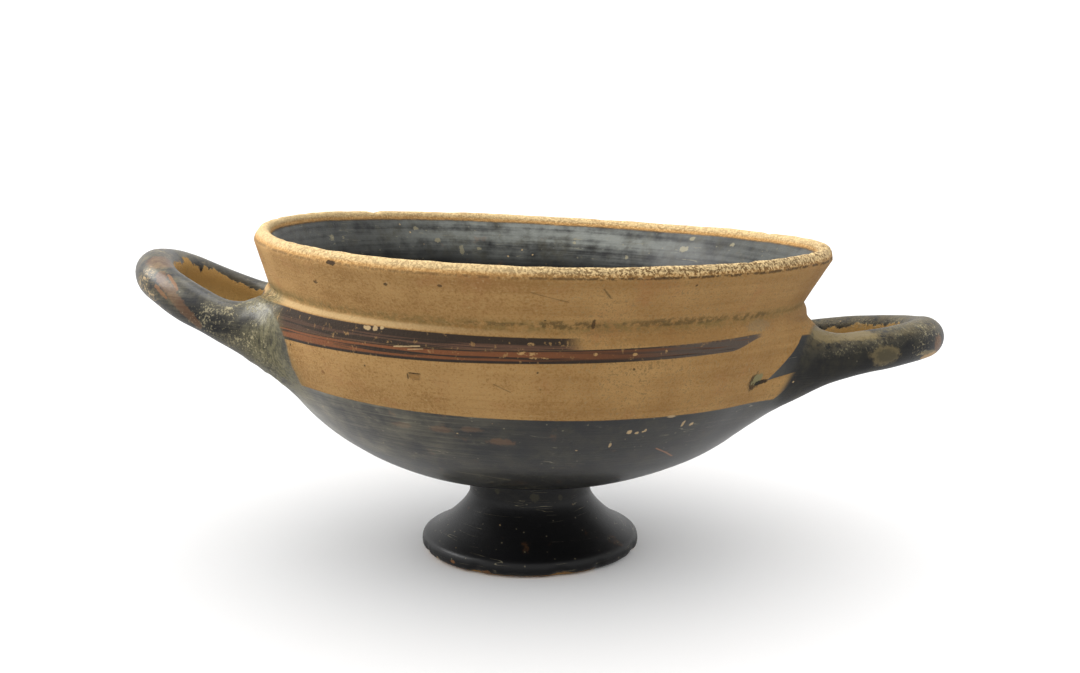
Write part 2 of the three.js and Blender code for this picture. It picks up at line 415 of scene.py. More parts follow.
def smearRoots(mesh, handle):
    rf = rootFillets
    edges = np.empty(len(mesh.edges) * 2, int)
    mesh.edges.foreach_get("vertices", edges)
    edges = edges.reshape(-1, 2)
    places = readPlaces(mesh)
    near = places[:, 0] * handle["side"] > rf["nearest"]
    near &= (wallGap(unpullWall(places)) > -rf["skin"]) & (places[:, 2] < rf["top"] + rf["headroom"])
    near[near] = rodPlaces(places[near], handle)["gap"] < rf["reach"]
    chosen = np.flatnonzero(near)
    held = edges[near[edges].any(axis=1)]
    for _ in range(rf["passes"]):
        part = places[chosen]
        onWheel = unpullWall(part)
        outward = wallOutward(part, onWheel)
        wallDistance = wallGap(onWheel)
        rod = rodPlaces(part, handle)
        width = rf["above"] + (rf["below"] - rf["above"]) * smoothStep(-rod["up"], -0.6, 0.6)
        width *= 1 - smoothStep(part[:, 2], rf["top"] - rf["topFade"], rf["top"])
        share = np.clip(0.5 + 0.5 * (rod["gap"] - wallDistance) / np.maximum(width, 0.01), 0, 1)
        distance = rod["gap"] * (1 - share) + wallDistance * share - width * share * (1 - share)
        way = rod["facing"] * (1 - share[:, None]) + outward * share[:, None]
        way /= np.maximum(np.linalg.norm(way, axis=1), 0.3)[:, None]
        places[chosen] -= way * np.clip(distance, -1, 1)[:, None] * (width > 0.5)[:, None]
        crease = 4 * share * (1 - share) * rf["relax"]
        places[chosen] += crease[:, None] * (neighbourMiddles(places, held, chosen) - places[chosen])
    writePlaces(mesh, places)


for handle in (leftHandle, rightHandle):
    smearRoots(vessel.data, handle)
print("clay is smeared round the handle roots")


# Relief that the hand, the wheel and wear left, as heights in millimetres

reliefSizes = {
    "wallWobble": 0.16, "wheelMarks": 0.045, "rimWobble": 0.16, "rodWobble": 0.3, "crust": 0.55,
    # angle round the foot or rim in degrees, height, width and depth
    "chips": (
        (-118, 1.0, 2.6, 0.5), (-74, 0.6, 3.2, 0.6), (-52, 1.4, 2.4, 0.45), (-20, 0.8, 3.0, 0.5),
        (40, 1.0, 3.4, 0.6), (115, 0.8, 2.8, 0.5), (160, 1.2, 3.2, 0.6), (-160, 1.0, 2.4, 0.5),
        (-133, 75.2, 2.0, 0.45), (-52, 76.0, 2.4, 0.4), (-31, 75.6, 2.6, 0.5), (-12, 76.2, 2.2, 0.4),
        (28, 76.0, 2.6, 0.5), (74, 75.4, 2.2, 0.4), (131, 76.2, 2.8, 0.5), (172, 75.2, 2.4, 0.45),
    ),
}


def unevenField(places, size, seed):
    shift = Vector((seed * 17.3, seed * 5.1, seed * 9.7))
    return np.array([noise.noise(Vector(place) / size + shift) for place in places])


def shapeSurface(mesh):
    places = readPlaces(mesh)
    onWheel = unpullWall(places)
    normals = readNormals(mesh)
    gap = wallGap(onWheel)
    left = rodPlaces(places, leftHandle)
    right = rodPlaces(places, rightHandle)
    onLeft = places[:, 0] < 0
    rod = {}
    for name in left:
        here = onLeft[:, None] if left[name].ndim == 2 else onLeft
        rod[name] = np.where(here, left[name], right[name])
    onRod = smoothStep(gap, 0.3, 3) * smoothStep(-rod["gap"], -3, -0.5)
    height = onWheel[:, 2]
    turning = onWheel * [0.03, 0.03, 1]
    relief = reliefSizes["wallWobble"] * unevenField(onWheel, 22, 1) * (1 - onRod)
    relief += reliefSizes["wheelMarks"] * unevenField(turning, 2.6, 2) * (1 - onRod)
    relief += reliefSizes["rimWobble"] * unevenField(onWheel, 4.5, 3) * smoothStep(height, 73.5, 76)
    relief += reliefSizes["rodWobble"] * unevenField(places, 9, 4) * onRod
    angle = np.degrees(np.arctan2(onWheel[:, 1], onWheel[:, 0]))
    radius = np.hypot(onWheel[:, 0], onWheel[:, 1])
    for chipAngle, chipHeight, width, depth in reliefSizes["chips"]:
        turnedAway = (angle - chipAngle + 180) % 360 - 180
        away = np.hypot(np.radians(turnedAway) * radius, height - chipHeight)
        relief -= depth * (1 - smoothStep(away, 0, width)) * (gap > -2)
    relief *= smoothStep(height, 0, 0.8)  # the ring that it stands on stays flat
    crustPlace = onLeft * (places[:, 1] < 0) * (gap > -1)
    crustPlace = crustPlace * smoothStep(-rod["gap"], -6, 0) * smoothStep(-gap, -9, -1)
    relief += reliefSizes["crust"] * crustPlace * np.maximum(unevenField(places, 2.2, 5) + 0.15, 0)
    writePlaces(mesh, places + normals * relief[:, None])
    return onWheel, gap, rod


def keepField(mesh, name, values):
    kind = "FLOAT_VECTOR" if values.ndim == 2 else "FLOAT"
    field = mesh.attributes.new(name, kind, "POINT")
    field.data.foreach_set("vector" if values.ndim == 2 else "value", values.astype(np.float32).ravel())


onWheel, gap, rod = shapeSurface(vessel.data)
keepField(vessel.data, "onWheel", onWheel)
keepField(vessel.data, "wallGap", gap)
keepField(vessel.data, "rodGap", rod["gap"])
keepField(vessel.data, "rodFacing", np.stack([rod["inward"], rod["up"], rod["fromEnd"]], axis=1))
writePlaces(vessel.data, (leanBowl(readPlaces(vessel.data)) + footAxis * [1, 1, 0]) * mm)
bpy.ops.object.select_all(action="DESELECT")
vessel.select_set(True)
bpy.context.view_layer.objects.active = vessel
bpy.ops.object.shade_smooth()
print("the surface is shaped:", len(vessel.data.polygons), "faces")


# Shader maths

def tone(red, green, blue):
    shares = [value / 255 for value in (red, green, blue)]
    linear = [c / 12.92 if c < 0.04045 else ((c + 0.055) / 1.055) ** 2.4 for c in shares]
    return (*linear, 1)


class Field:
    tree = None

    def __init__(self, socket):
        self.socket = socket

    @staticmethod
    def make(kind, settings, inputs, output=0):
        node = Field.tree.nodes.new("ShaderNode" + kind)
        for name, value in settings.items():
            setattr(node, name, value)
        for name, value in inputs.items():
            if isinstance(value, Field):
                Field.tree.links.new(value.socket, node.inputs[name])
            else:
                node.inputs[name].default_value = value
        return Field(node.outputs[output])

    def math(self, operation, *others):
        inputs = dict(enumerate((self, *others)))
        return Field.make("Math", {"operation": operation}, inputs)

    def __add__(self, other):
        return self.math("ADD", other)

    def __sub__(self, other):
        return self.math("SUBTRACT", other)

    def __mul__(self, other):
        return self.math("MULTIPLY", other)

    def __truediv__(self, other):
        return self.math("DIVIDE", other)

    def __rsub__(self, other):
        return Field.make("Math", {"operation": "SUBTRACT"}, {0: other, 1: self})

    __radd__ = __add__
    __rmul__ = __mul__


def between(value, low, high):
    inputs = {"Value": value, "From Min": low, "From Max": high}
    if low > high:
        inputs.update({"From Min": high, "From Max": low, "To Min": 1, "To Max": 0})
    return Field.make("MapRange", {"interpolation_type": "SMOOTHSTEP"}, inputs)


def both(one, other):
    return one.math("MINIMUM", other)


def either(one, other):
    return one.math("MAXIMUM", other)


def blend(first, second, share):
    return Field.make("Mix", {"data_type": "RGBA"}, {0: share, 6: first, 7: second}, 2)


def stretch(vector, across, up):
    return Field.make("VectorMath", {"operation": "MULTIPLY"}, {0: vector, 1: (across, across, up)})


def grain(vector, size, detail=3, roughness=0.55, shift=0):
    place = Field.make("VectorMath", {"operation": "ADD"}, {0: vector, 1: (shift, 2 * shift, 3 * shift)})
    inputs = {"Vector": place, "Scale": 1 / size, "Detail": detail, "Roughness": roughness}
    return Field.make("TexNoise", {}, inputs)


# Small marks of one size, on a share of the places where they could be
def flecks(vector, size, radius, share, ragged, shift=0):
    place = Field.make("VectorMath", {"operation": "ADD"}, {0: vector, 1: (shift, 2 * shift, 3 * shift)})
    cells = Field.make("TexVoronoi", {}, {"Vector": place, "Scale": 1 / size, "Randomness": 1})
    chance = Field.make("SeparateXYZ", {}, {0: Field(cells.socket.node.outputs["Color"])})
    there = between(chance, 1 - share, 1.02 - share)
    return both(between(cells + ragged * (3 * radius), radius * 1.25, radius * 0.7), there)


def readField(name, output=0):
    return Field.make("Attribute", {"attribute_name": name}, {}, output)


# Fired clay, its slips and their wear
clayFinish = {
    "clayPale": tone(159, 126, 80), "clayDeep": tone(124, 92, 52), "clayPink": tone(138, 92, 58),
    "lipCream": tone(178, 154, 112), "lipGold": tone(172, 130, 76), "lipGrain": tone(214, 186, 136),
    "lipDark": tone(98, 70, 36), "ochre": tone(152, 120, 68), "dirt": tone(62, 50, 30),
    "mossAndShade": tone(88, 78, 44), "pit": tone(42, 31, 20), "chip": tone(160, 136, 98),
    "rust": tone(106, 72, 42), "crust": tone(140, 131, 102), "dust": tone(112, 98, 66),
    "slipBlack": tone(11, 11, 12), "slipHazeAndSheen": tone(112, 106, 86), "slipOlive": tone(48, 45, 32),
    "insideGrey": tone(100, 102, 97), "jointGrey": tone(114, 108, 76),
    "bandDark": tone(24, 17, 14), "bandGrey": tone(78, 54, 42), "bandBrown": tone(98, 56, 30),
    "bandWorn": tone(64, 56, 50),
    "clayRoughness": 0.8, "slipRoughness": 0.5, "coatRoughness": 0.28, "gloss": 0.12,
    "slipCoat": 0.53, "footCoat": 0.17, "insideCoat": 0.1, "bandCoat": 0.16, "grainDepth": 0.22,
}
cf = clayFinish

# Where each slip ends: heights in millimetres, angles in degrees with -90 at the front
paintPlaces = {
    "footEdge": 0.7, "blackTop": 45.3, "blackTopWave": 1.1, "insideTop": 74.5, "insideFloor": 16,
    "bandFoot": 56.5, "bandWave": 1.7, "bandHeight": 2.75, "bandLine": 0.45,
    # the lip line is the height of a painted shadow line under the lip edge
    "upperLineFoot": 60.5, "upperLineHead": 62.0, "groove": 63.8, "lipShadowLine": 74.5, "lipFoot": 74.3,
    # angle and height of each handle root, and how far its slip runs across and up the wall
    "roots": ((-156.6, 53.1, 14.6, 8.6), (156.6, 51.3, 14, 8.5), (23.4, 46, 15, 8.5)),
    # corners of the slip at the front right root, with a bare wedge between its tip and its foot
    "slipCorner": (-28.8, 58.2), "slipTip": (-37.1, 49.6), "slipNotch": (-29.2, 51.2),
    "slipFoot": (-32, 45.3), "slipHead": 58.6, "slipAway": -12,
}
pp = paintPlaces

# Marks on the wall: angle, height, half length, half height, tone, strength, and how far it stands out
wallMarks = (
    (-120.2, 61.5, 1.0, 0.5, "chip", 0.9, -0.5), (-118.4, 61.6, 0.7, 0.6, "chip", 0.85, -0.5),
    (-116.9, 61.9, 0.5, 0.4, "chip", 0.9, -0.5),
    (-89.8, 60.7, 0.8, 0.35, "clayPale", 0.9, 0.3), (-90.2, 58.8, 2.0, 0.4, "clayPale", 0.85, 0.35),
    (-88.4, 57.9, 1.7, 0.25, "clayPale", 0.8, 0.3), (-78.6, 58.8, 0.4, 0.3, "clayPale", 0.8, 0.3),
    (-71.5, 58.6, 0.6, 0.35, "clayPale", 0.75, 0.3), (-65.6, 58.9, 0.3, 0.4, "clayPale", 0.7, 0.2),
    (-41.0, 50.0, 2.1, 2.0, "slipBlack", 0.8, 0.1), (-40.5, 50.4, 1.7, 1.5, "jointGrey", 0.9, 0.1),
    (-110.6, 52.4, 1.4, 0.8, "clayDeep", 0.8, -1.0), (-110.6, 53.1, 1.4, 0.16, "pit", 0.8, -0.6),
    (-112, 52.3, 0.2, 0.8, "pit", 0.7, -0.6), (-133.2, 49.9, 0.6, 0.5, "rust", 0.8, 0),
    (-79.2, 64.8, 0.4, 1.1, "pit", 0.75, -0.6),
    (-131.8, 69.5, 0.8, 0.3, "pit", 0.7, -0.5), (-114.4, 71.4, 0.5, 0.35, "pit", 0.8, -0.5),
    (-104.4, 72.1, 0.4, 0.3, "pit", 0.7, -0.4), (-125.4, 74.5, 1.2, 0.5, "pit", 0.9, -0.6),
    (-96, 64.5, 7, 0.5, "dirt", 0.4, 0), (-84, 64.6, 7, 0.9, "dirt", 0.55, 0.3),
    (-64, 64.9, 12, 0.9, "dirt", 0.45, 0.3), (-46, 64.6, 6, 0.8, "dirt", 0.4, 0.2),
    (-62, 61.4, 15, 1.5, "clayDeep", 0.55, 0), (-43, 62.3, 4, 1.2, "slipHazeAndSheen", 0.3, 0),
    (-116.4, 40.5, 2.6, 0.7, "rust", 0.25, 0), (-107.4, 40.6, 3.2, 0.8, "rust", 0.3, 0),
    (-101, 41.2, 3.0, 0.7, "rust", 0.25, 0), (-95, 38.6, 3.4, 0.9, "rust", 0.35, 0),
    (-68.8, 41.0, 0.7, 0.5, "chip", 0.85, -0.4), (-67.0, 40.7, 0.5, 0.3, "chip", 0.8, -0.4),
    (-65.2, 41.2, 0.35, 0.4, "chip", 0.85, -0.3), (-71.8, 37.8, 0.4, 0.6, "chip", 0.75, -0.3),
    (-60.6, 44.2, 1.2, 0.35, "chip", 0.8, -0.3), (-56.6, 42.0, 0.4, 0.9, "chip", 0.75, -0.3),
    (-54.2, 41.6, 0.6, 0.5, "chip", 0.85, -0.3), (-120, 17.2, 3.2, 1.0, "slipOlive", 0.8, 0.1),
    (-85, 16.0, 5.0, 1.1, "slipOlive", 0.8, 0.1), (-60, 15.6, 3.0, 0.8, "slipOlive", 0.7, 0.1),
    (-146.2, 1.1, 1.2, 0.6, "chip", 0.7, -0.4), (-132.4, 2.0, 1.6, 0.4, "rust", 0.8, -0.2),
    (-112, 1.2, 2.8, 0.5, "rust", 0.75, -0.3), (-70, 0.9, 3.4, 0.3, "clayDeep", 0.7, -0.2),
)

# Marks on the handles: place in millimetres before the bowl leans, half sizes, tone and strength
rodMarks = (
    ((-88, -17, 64), (2.6, 4, 3), "chip", 0.8), ((-86, -19.5, 59.5), (4, 2.6, 3), "chip", 0.8),
    ((-85, -14, 68), (4, 5, 1.6), "rust", 0.35), ((-84, -7, 69), (5, 3, 1.4), "chip", 0.35),
    ((-64.2, -28.2, 59.5), (4, 3, 3), "crust", 0.7), ((-61.5, -31, 55), (4, 4, 5), "crust", 0.85),
    ((-57, -32, 51), (4, 4, 5), "crust", 0.75), ((-72, -28, 57), (5, 3, 4), "crust", 0.55),
    ((79.7, -26.7, 54.6), (4.6, 3, 2.7), "dust", 0.5),
    ((80.2, -27, 54.4), (3.3, 2.8, 1.7), "slipOlive", 0.65),
    ((88.5, -20.5, 55.4), (4, 3, 2.4), "crust", 0.6), ((92.8, -15.4, 57.4), (2.6, 3, 2), "crust", 0.5),
    ((94.4, -14.5, 55.8), (1.6, 3.4, 2.4), "rust", 0.55), ((92, -15.5, 53.2), (4.4, 5, 1.1), "ochre", 0.8),
    ((90, -18, 54.4), (6, 4, 0.5), "dust", 0.6), ((92, -15.5, 59.4), (5, 6, 1.6), "crust", 0.6),
    ((72, -27, 59), (8, 4, 1.2), "dust", 0.9), ((66, -26, 58.8), (5, 6, 1.8), "dust", 0.9),
)

# Spots inside the bowl: angle, height, half length, half height
insideSpots = (
    (148.8, 70.4, 0.9, 0.7), (120.2, 72.2, 1.0, 0.5), (114.8, 69.2, 0.8, 0.6), (108.5, 66.6, 0.7, 1.1),
    (104, 67.2, 0.6, 0.5), (51, 70.4, 1.3, 0.7), (49.8, 73.4, 0.9, 0.5), (37.2, 72.8, 0.8, 0.5),
    (80, 70, 0.5, 0.4), (66, 67, 0.6, 0.5), (-60, 66, 0.8, 0.6), (-110, 70, 0.9, 0.6), (-30, 62, 0.7, 0.6),
)


# Places on the handles as they were before the wall was pulled
def rodChain(*places):
    return [tuple(map(float, place)) for place in unpullWall(np.array(places, float))]


def wallChain(*places):
    radii = np.interp([height for _, height in places], wallLine[:, 1], wallLine[:, 0])
    turns = [math.radians(angle) for angle, _ in places]
    return tuple((r * math.cos(t), r * math.sin(t), place[1]) for r, t, place in zip(radii, turns, places))


# Strokes and scratches: the places that they pass, half width, tone, strength, and how far they stand out
strokes = (
    (rodChain((-84, -19.6, 66), (-83, -22.4, 64.5), (-80.8, -24, 62.8), (-79.7, -25.4, 61.2),
              (-78, -26, 59.8), (-75.6, -27, 57.6), (-73.7, -27.5, 55.7)), 1.15, "rust", 0.38, 0),
    (rodChain((-83, -19.2, 67), (-79.9, -23.2, 64), (-77.2, -25.6, 60.8), (-74, -26.8, 57)),
     0.35, "rust", 0.8, 0),
    (rodChain((-84.6, -21, 63.4), (-81.4, -24.8, 60.6), (-77.6, -27.2, 57.6)), 0.45, "rust", 0.7, 0),
    (wallChain((-35.8, 49.9), (-40.2, 49.4)), 0.6, "slipBlack", 0.9, 0.1),
    (rodChain((60.6, -31.2, 57.4), (59.2, -32.2, 54.4), (59.6, -31.0, 51.6)), 0.22, "crust", 0.8, -0.4),
    (wallChain((-114.2, 58.4), (-109.2, 59.0)), 0.16, "chip", 0.75, 0),
    (wallChain((-111.5, 58.1), (-108.6, 58.5)), 0.12, "chip", 0.6, 0),
    (wallChain((-78.8, 72.4), (-77.4, 70.6)), 0.16, "dirt", 0.5, -0.4),
    (wallChain((-90, 71.5), (-84, 69.6)), 0.12, "dirt", 0.4, -0.3),
    (wallChain((-59.2, 35.8), (-55.0, 34.2), (-51, 32.6)), 0.2, "clayPink", 0.7, 0),
    (wallChain((-109, 28.4), (-102, 28.0), (-94, 26.9)), 0.14, "slipHazeAndSheen", 0.8, 0),
    (wallChain((-128, 56.9), (-124, 56.6)), 0.14, "dirt", 0.5, -0.3),
    (wallChain((-96, 52.0), (-93, 50.4)), 0.12, "dirt", 0.45, -0.3),
)


def markMask(place, centre, halves, ragged):
    away = Field.make("VectorMath", {"operation": "SUBTRACT"}, {0: place, 1: centre})
    shares = Field.make("VectorMath", {"operation": "DIVIDE"}, {0: away, 1: halves})
    length = Field.make("VectorMath", {"operation": "LENGTH"}, {0: shares}, "Value")
    return between(length + ragged, 1.15, 0.75)


def strokeMask(place, points, halfWidth, ragged):
    nearest = None
    for start, end in zip(points, points[1:]):
        run = Vector(end) - Vector(start)
        away = Field.make("VectorMath", {"operation": "SUBTRACT"}, {0: place, 1: start})
        inputs = {0: away, 1: run / run.length_squared}
        share = Field.make("VectorMath", {"operation": "DOT_PRODUCT"}, inputs, "Value")
        share = share.math("MAXIMUM", 0).math("MINIMUM", 1)
        reached = Field.make("VectorMath", {"operation": "SCALE"}, {0: run, "Scale": share})
        distance = Field.make("VectorMath", {"operation": "DISTANCE"}, {0: away, 1: reached}, "Value")
        nearest = distance if nearest is None else both(nearest, distance)
    return between(nearest + ragged * halfWidth, halfWidth * 1.15, halfWidth * 0.8)


# How far a place lies to the right of or below a line up the wall, in millimetres
def pastLine(across, height, start, end):
    starts = math.radians(start[0]) * vs["shoulderRadius"]
    run = math.radians(end[0]) * vs["shoulderRadius"] - starts
    rise = end[1] - start[1]
    length = math.hypot(run, rise)
    return (across - starts) * (rise / length) - (height - start[1]) * (run / length)


def splitPlace(vector):
    parts = Field.make("SeparateXYZ", {}, {0: vector})
    return [Field(socket) for socket in parts.socket.node.outputs]


# A strip that fades in from one value to the next and out again
def strip(value, start, full, fade, end):
    return both(between(value, start, full), between(value, end, fade))


# Places on the cup, which side of the wall they are on, and patterns that several coats share
def readPatterns():
    at = SimpleNamespace(onWheel=readField("onWheel", 1))
    at.x, y, at.height = splitPlace(at.onWheel)
    at.rodInward, at.rodUp, at.rodFromEnd = splitPlace(readField("rodFacing", 1))
    at.gap = readField("wallGap", 2)
    at.rodGap = readField("rodGap", 2)
    at.turn = y.math("ARCTAN2", at.x)
    at.angle = at.turn * (180 / math.pi)
    at.across = at.turn * vs["shoulderRadius"]
    at.onRod = both(between(at.gap, 0.9, 1.6), between(at.rodGap, 2.6, 1.6))
    at.onLeft = between(at.x, 0, -10)
    at.outside = between(at.gap, -2.2, -1.2)
    at.within = between(at.gap, -1.4, -2)
    at.frontRight = either(between(at.angle, -112, -70) * between(at.angle, 20, -10), 0.35)
    streakPlace = stretch(at.onWheel, 0.025, 1)  # streaks run round the cup, the rest lies any way
    at.slowStreak = grain(streakPlace, 2.4, 4, 0.6)
    at.fineStreak = grain(streakPlace, 0.4, 3, 0.6, 4)
    at.wander = grain(stretch(at.onWheel, 0.2, 0.4), 3.5, 3, 0.6, 9) - 0.5
    at.ragged = grain(at.onWheel, 0.9, 4, 0.7, 12) - 0.5
    at.edge = at.wander * 0.45 + at.ragged * 0.3
    at.cloud = grain(at.onWheel, 15, 4, 0.6, 21)
    at.patches = grain(at.onWheel, 6, 4, 0.65, 23)
    at.sand = grain(at.onWheel, 0.55, 3, 0.75, 25)
    at.gravel = grain(at.onWheel, 1.5, 4, 0.7, 55)
    at.crumbs = between(grain(at.onWheel, 0.6, 3, 0.75, 77) + at.patches * 0.5, 0.8, 0.87)
    at.pinholes = flecks(at.onWheel, 3.6, 0.07, 0.35, at.ragged, 33)
    scratches = (grain(stretch(at.onWheel, 0.07, 1), 2.2, 2, 0.5, 61) - 0.5).math("ABSOLUTE")
    at.scratches = between(scratches, 0.006, 0.002) * between(at.patches, 0.5, 0.62) * (1 - at.onRod)
    at.lipTop = between(at.height + at.edge, pp["lipFoot"], pp["lipFoot"] + 1)
    at.lipRough = at.lipTop * at.frontRight
    at.lipPits = at.lipRough * between(at.sand * 0.7 + at.gravel * 0.3, 0.5, 0.44)
    return at


# The lip is paler, rougher at the front right, and has a broken painted shadow line under its edge
def paintLip(at, bare):
    lipTone = blend(cf["lipGold"], cf["lipCream"], between(at.height + at.edge, 74.9, 75.9))
    bare = blend(bare, lipTone, at.lipTop * between(at.patches, 0.15, 0.45))
    bare = blend(bare, cf["lipGrain"], at.lipRough * between(at.sand, 0.5, 0.6) * 0.8)
    bare = blend(bare, cf["lipDark"], at.lipPits * 0.85)
    # painted shadow: a thin dark line, broken by noise, where the lip edge meets the wall below it
    middle = pp["lipShadowLine"]
    lipShadowLine = strip(at.height + at.edge * 1.4, middle - 0.45, middle - 0.1, middle + 0.1, middle + 0.4)
    lipShadowLine = lipShadowLine * between(at.gravel, 0.42, 0.5)
    return blend(bare, cf["pit"], lipShadowLine * (0.2 + at.frontRight * 0.55))


# Dirt and painted shade lie in the groove, and the ridge below it has a painted highlight at the left
def paintGroove(at, bare):
    middle = pp["groove"]
    # dirt mixed with painted shade of the hollow groove, in and just above the groove
    dirtAndShade = strip(at.height + at.edge, middle - 1.4, middle + 0.2, middle + 0.4, middle + 2.6)
    gritty = between(at.slowStreak * 0.2 + at.gravel * 0.5 + at.cloud * 0.3, 0.4, 0.58)
    bare = blend(bare, cf["mossAndShade"], dirtAndShade * gritty * 0.65)
    # painted highlight: the ridge under the groove is lightened along the left side
    ridge = strip(at.height + at.edge * 0.5, 62, 62.5, 63, 63.6) * between(at.angle, -84, -120)
    return blend(bare, cf["lipCream"], ridge * 0.5)


def bareClay(at):
    share = at.cloud * 0.3 + at.slowStreak * 0.15 + at.fineStreak * 0.1 + at.sand * 0.45
    bare = blend(cf["clayDeep"], cf["clayPale"], between(share, 0.4, 0.6))
    bare = blend(bare, cf["clayPink"], between(grain(at.onWheel, 9, 4, 0.6, 31), 0.54, 0.8) * 0.4)
    bare = blend(bare, cf["dirt"], between(at.sand + at.cloud * 0.2, 0.6, 0.76) * at.frontRight * 0.6)
    bare = blend(bare, cf["lipCream"], between(at.sand - at.cloud * 0.2, 0.5, 0.62) * 0.3)
    bare = blend(bare, cf["clayDeep"], between(at.fineStreak, 0.5, 0.7) * 0.4)
    bare = blend(bare, cf["pit"], at.pinholes * 0.75)
    bare = paintGroove(at, paintLip(at, bare))
    return blend(bare, cf["ochre"], at.onRod * 0.8)


# The front right root's slip, between its corners
def rightCorners(at):
    corner, tip, notch, foot = (pp[name] for name in ("slipCorner", "slipTip", "slipNotch", "slipFoot"))
    waver = at.edge * 0.7
    patch = both(between(pastLine(at.across, at.height, tip, corner) + waver, -0.1, 0.1),
                 between(pastLine(at.across, at.height, tip, notch) + waver, 0.1, -0.1))
    patch = either(patch, between(pastLine(at.across, at.height, foot, notch) + waver, -0.1, 0.1))
    patch = both(patch, between(at.height, pp["slipHead"] + 0.2, pp["slipHead"] - 0.2))
    return both(patch, between(at.angle, pp["slipAway"] + 1, pp["slipAway"] - 1))


# The rods' inner faces, which the slip leaves bare
def bareFaces(at):
    facingIn = at.rodInward - at.rodUp.math("MAXIMUM", 0) * 0.7 + at.wander * 0.5
    facingIn = facingIn + (at.patches - 0.5) * 1.8 + (at.gravel - 0.5) * 0.6
    return both(between(facingIn, 0.5, 0.6), at.onRod)


# Where the black slip lies: below, inside, round the handle roots and on the rods
def slipCover(at):
    low = pp["blackTop"] - (at.turn + math.radians(85)).math("COSINE") * pp["blackTopWave"]
    lowBlack = both(between(at.height + at.edge * 0.5 - low, 0.1, -0.1),
                    between(at.height + at.ragged, pp["footEdge"] - 0.2, pp["footEdge"] + 0.2))
    inBlack = both(at.within, between(at.height + at.edge, pp["insideTop"] + 0.25, pp["insideTop"] - 0.25))
    inBlack = both(inBlack, between(at.height, pp["insideFloor"] - 1, pp["insideFloor"]))
    black = either(both(lowBlack, at.outside), inBlack)
    perDegree = math.radians(vs["shoulderRadius"])  # millimetres along the wall
    for rootAngle, rootHeight, wide, up in pp["roots"]:
        sideways = (at.angle - rootAngle) * (perDegree / wide)
        upward = (at.height - rootHeight).math("MAXIMUM", 0) / up
        patch = between(sideways * sideways + upward * upward + at.edge * 0.35, 1.08, 0.94)
        black = either(black, both(patch, both(at.outside, between(at.height, 44, 45))))
    black = either(black, both(rightCorners(at), at.outside))
    return both(either(black, at.onRod), 1 - bareFaces(at))


# Black slip, dulled by haze and worn through in places; the haze on the lower left of the bowl and inside
# under the rim is partly painted sheen
def wornSlip(at):
    hazy = between(at.cloud * 0.4 + at.patches * 0.3 + at.fineStreak * 0.3, 0.4, 0.7)
    # haze and painted sheen: the lower bowl is lightened more and more towards the left side
    leftHazeAndSheen = hazy * between(at.height, 20, 32) * (0.1 + between(at.x, 4, -38) * 0.95)
    leftHazeAndSheen = leftHazeAndSheen * (1 - at.onRod * 0.5) * at.outside
    rodHaze = at.onRod * between(at.rodUp, 0, 0.8) * 0.32
    rodHaze = rodHaze * between(at.patches * 0.6 + at.gravel * 0.4, 0.38, 0.6)
    # haze and painted sheen inside under the rim, weaker at some angles round the bowl
    insideHazeAndSheen = at.within * between(at.height + at.wander * 6, 61.5, 70)
    insideHazeAndSheen = insideHazeAndSheen * between(at.patches * 0.4 + at.slowStreak * 0.6, 0.36, 0.58)
    insideHazeAndSheen = insideHazeAndSheen * (1 - between(at.angle, 105, 140) * 0.65) * (1 - between(at.angle, 75, 40) * 0.6)
    slip = blend(cf["slipBlack"], cf["slipHazeAndSheen"], either(leftHazeAndSheen, rodHaze))
    slip = blend(slip, cf["insideGrey"], insideHazeAndSheen * 0.95)
    olive = between(grain(at.onWheel, 4, 4, 0.65, 44), 0.45, 0.75) * between(at.height, 12, 22)
    slip = blend(slip, cf["slipOlive"], olive * 0.6)
    slip = blend(slip, cf["rust"], between(grain(at.onWheel, 7, 5, 0.7, 47), 0.62, 0.72) * 0.25)
    chips = flecks(at.onWheel, 3.4, 0.075, 0.3, at.ragged, 37) * between(at.cloud, 0.45, 0.55)
    slip = blend(slip, cf["chip"], chips * 0.85)
    slip = blend(slip, cf["slipHazeAndSheen"], flecks(at.onWheel, 1.7, 0.12, 0.35, at.ragged, 28) * 0.5)
    return blend(slip, cf["slipHazeAndSheen"], at.scratches * 0.7)


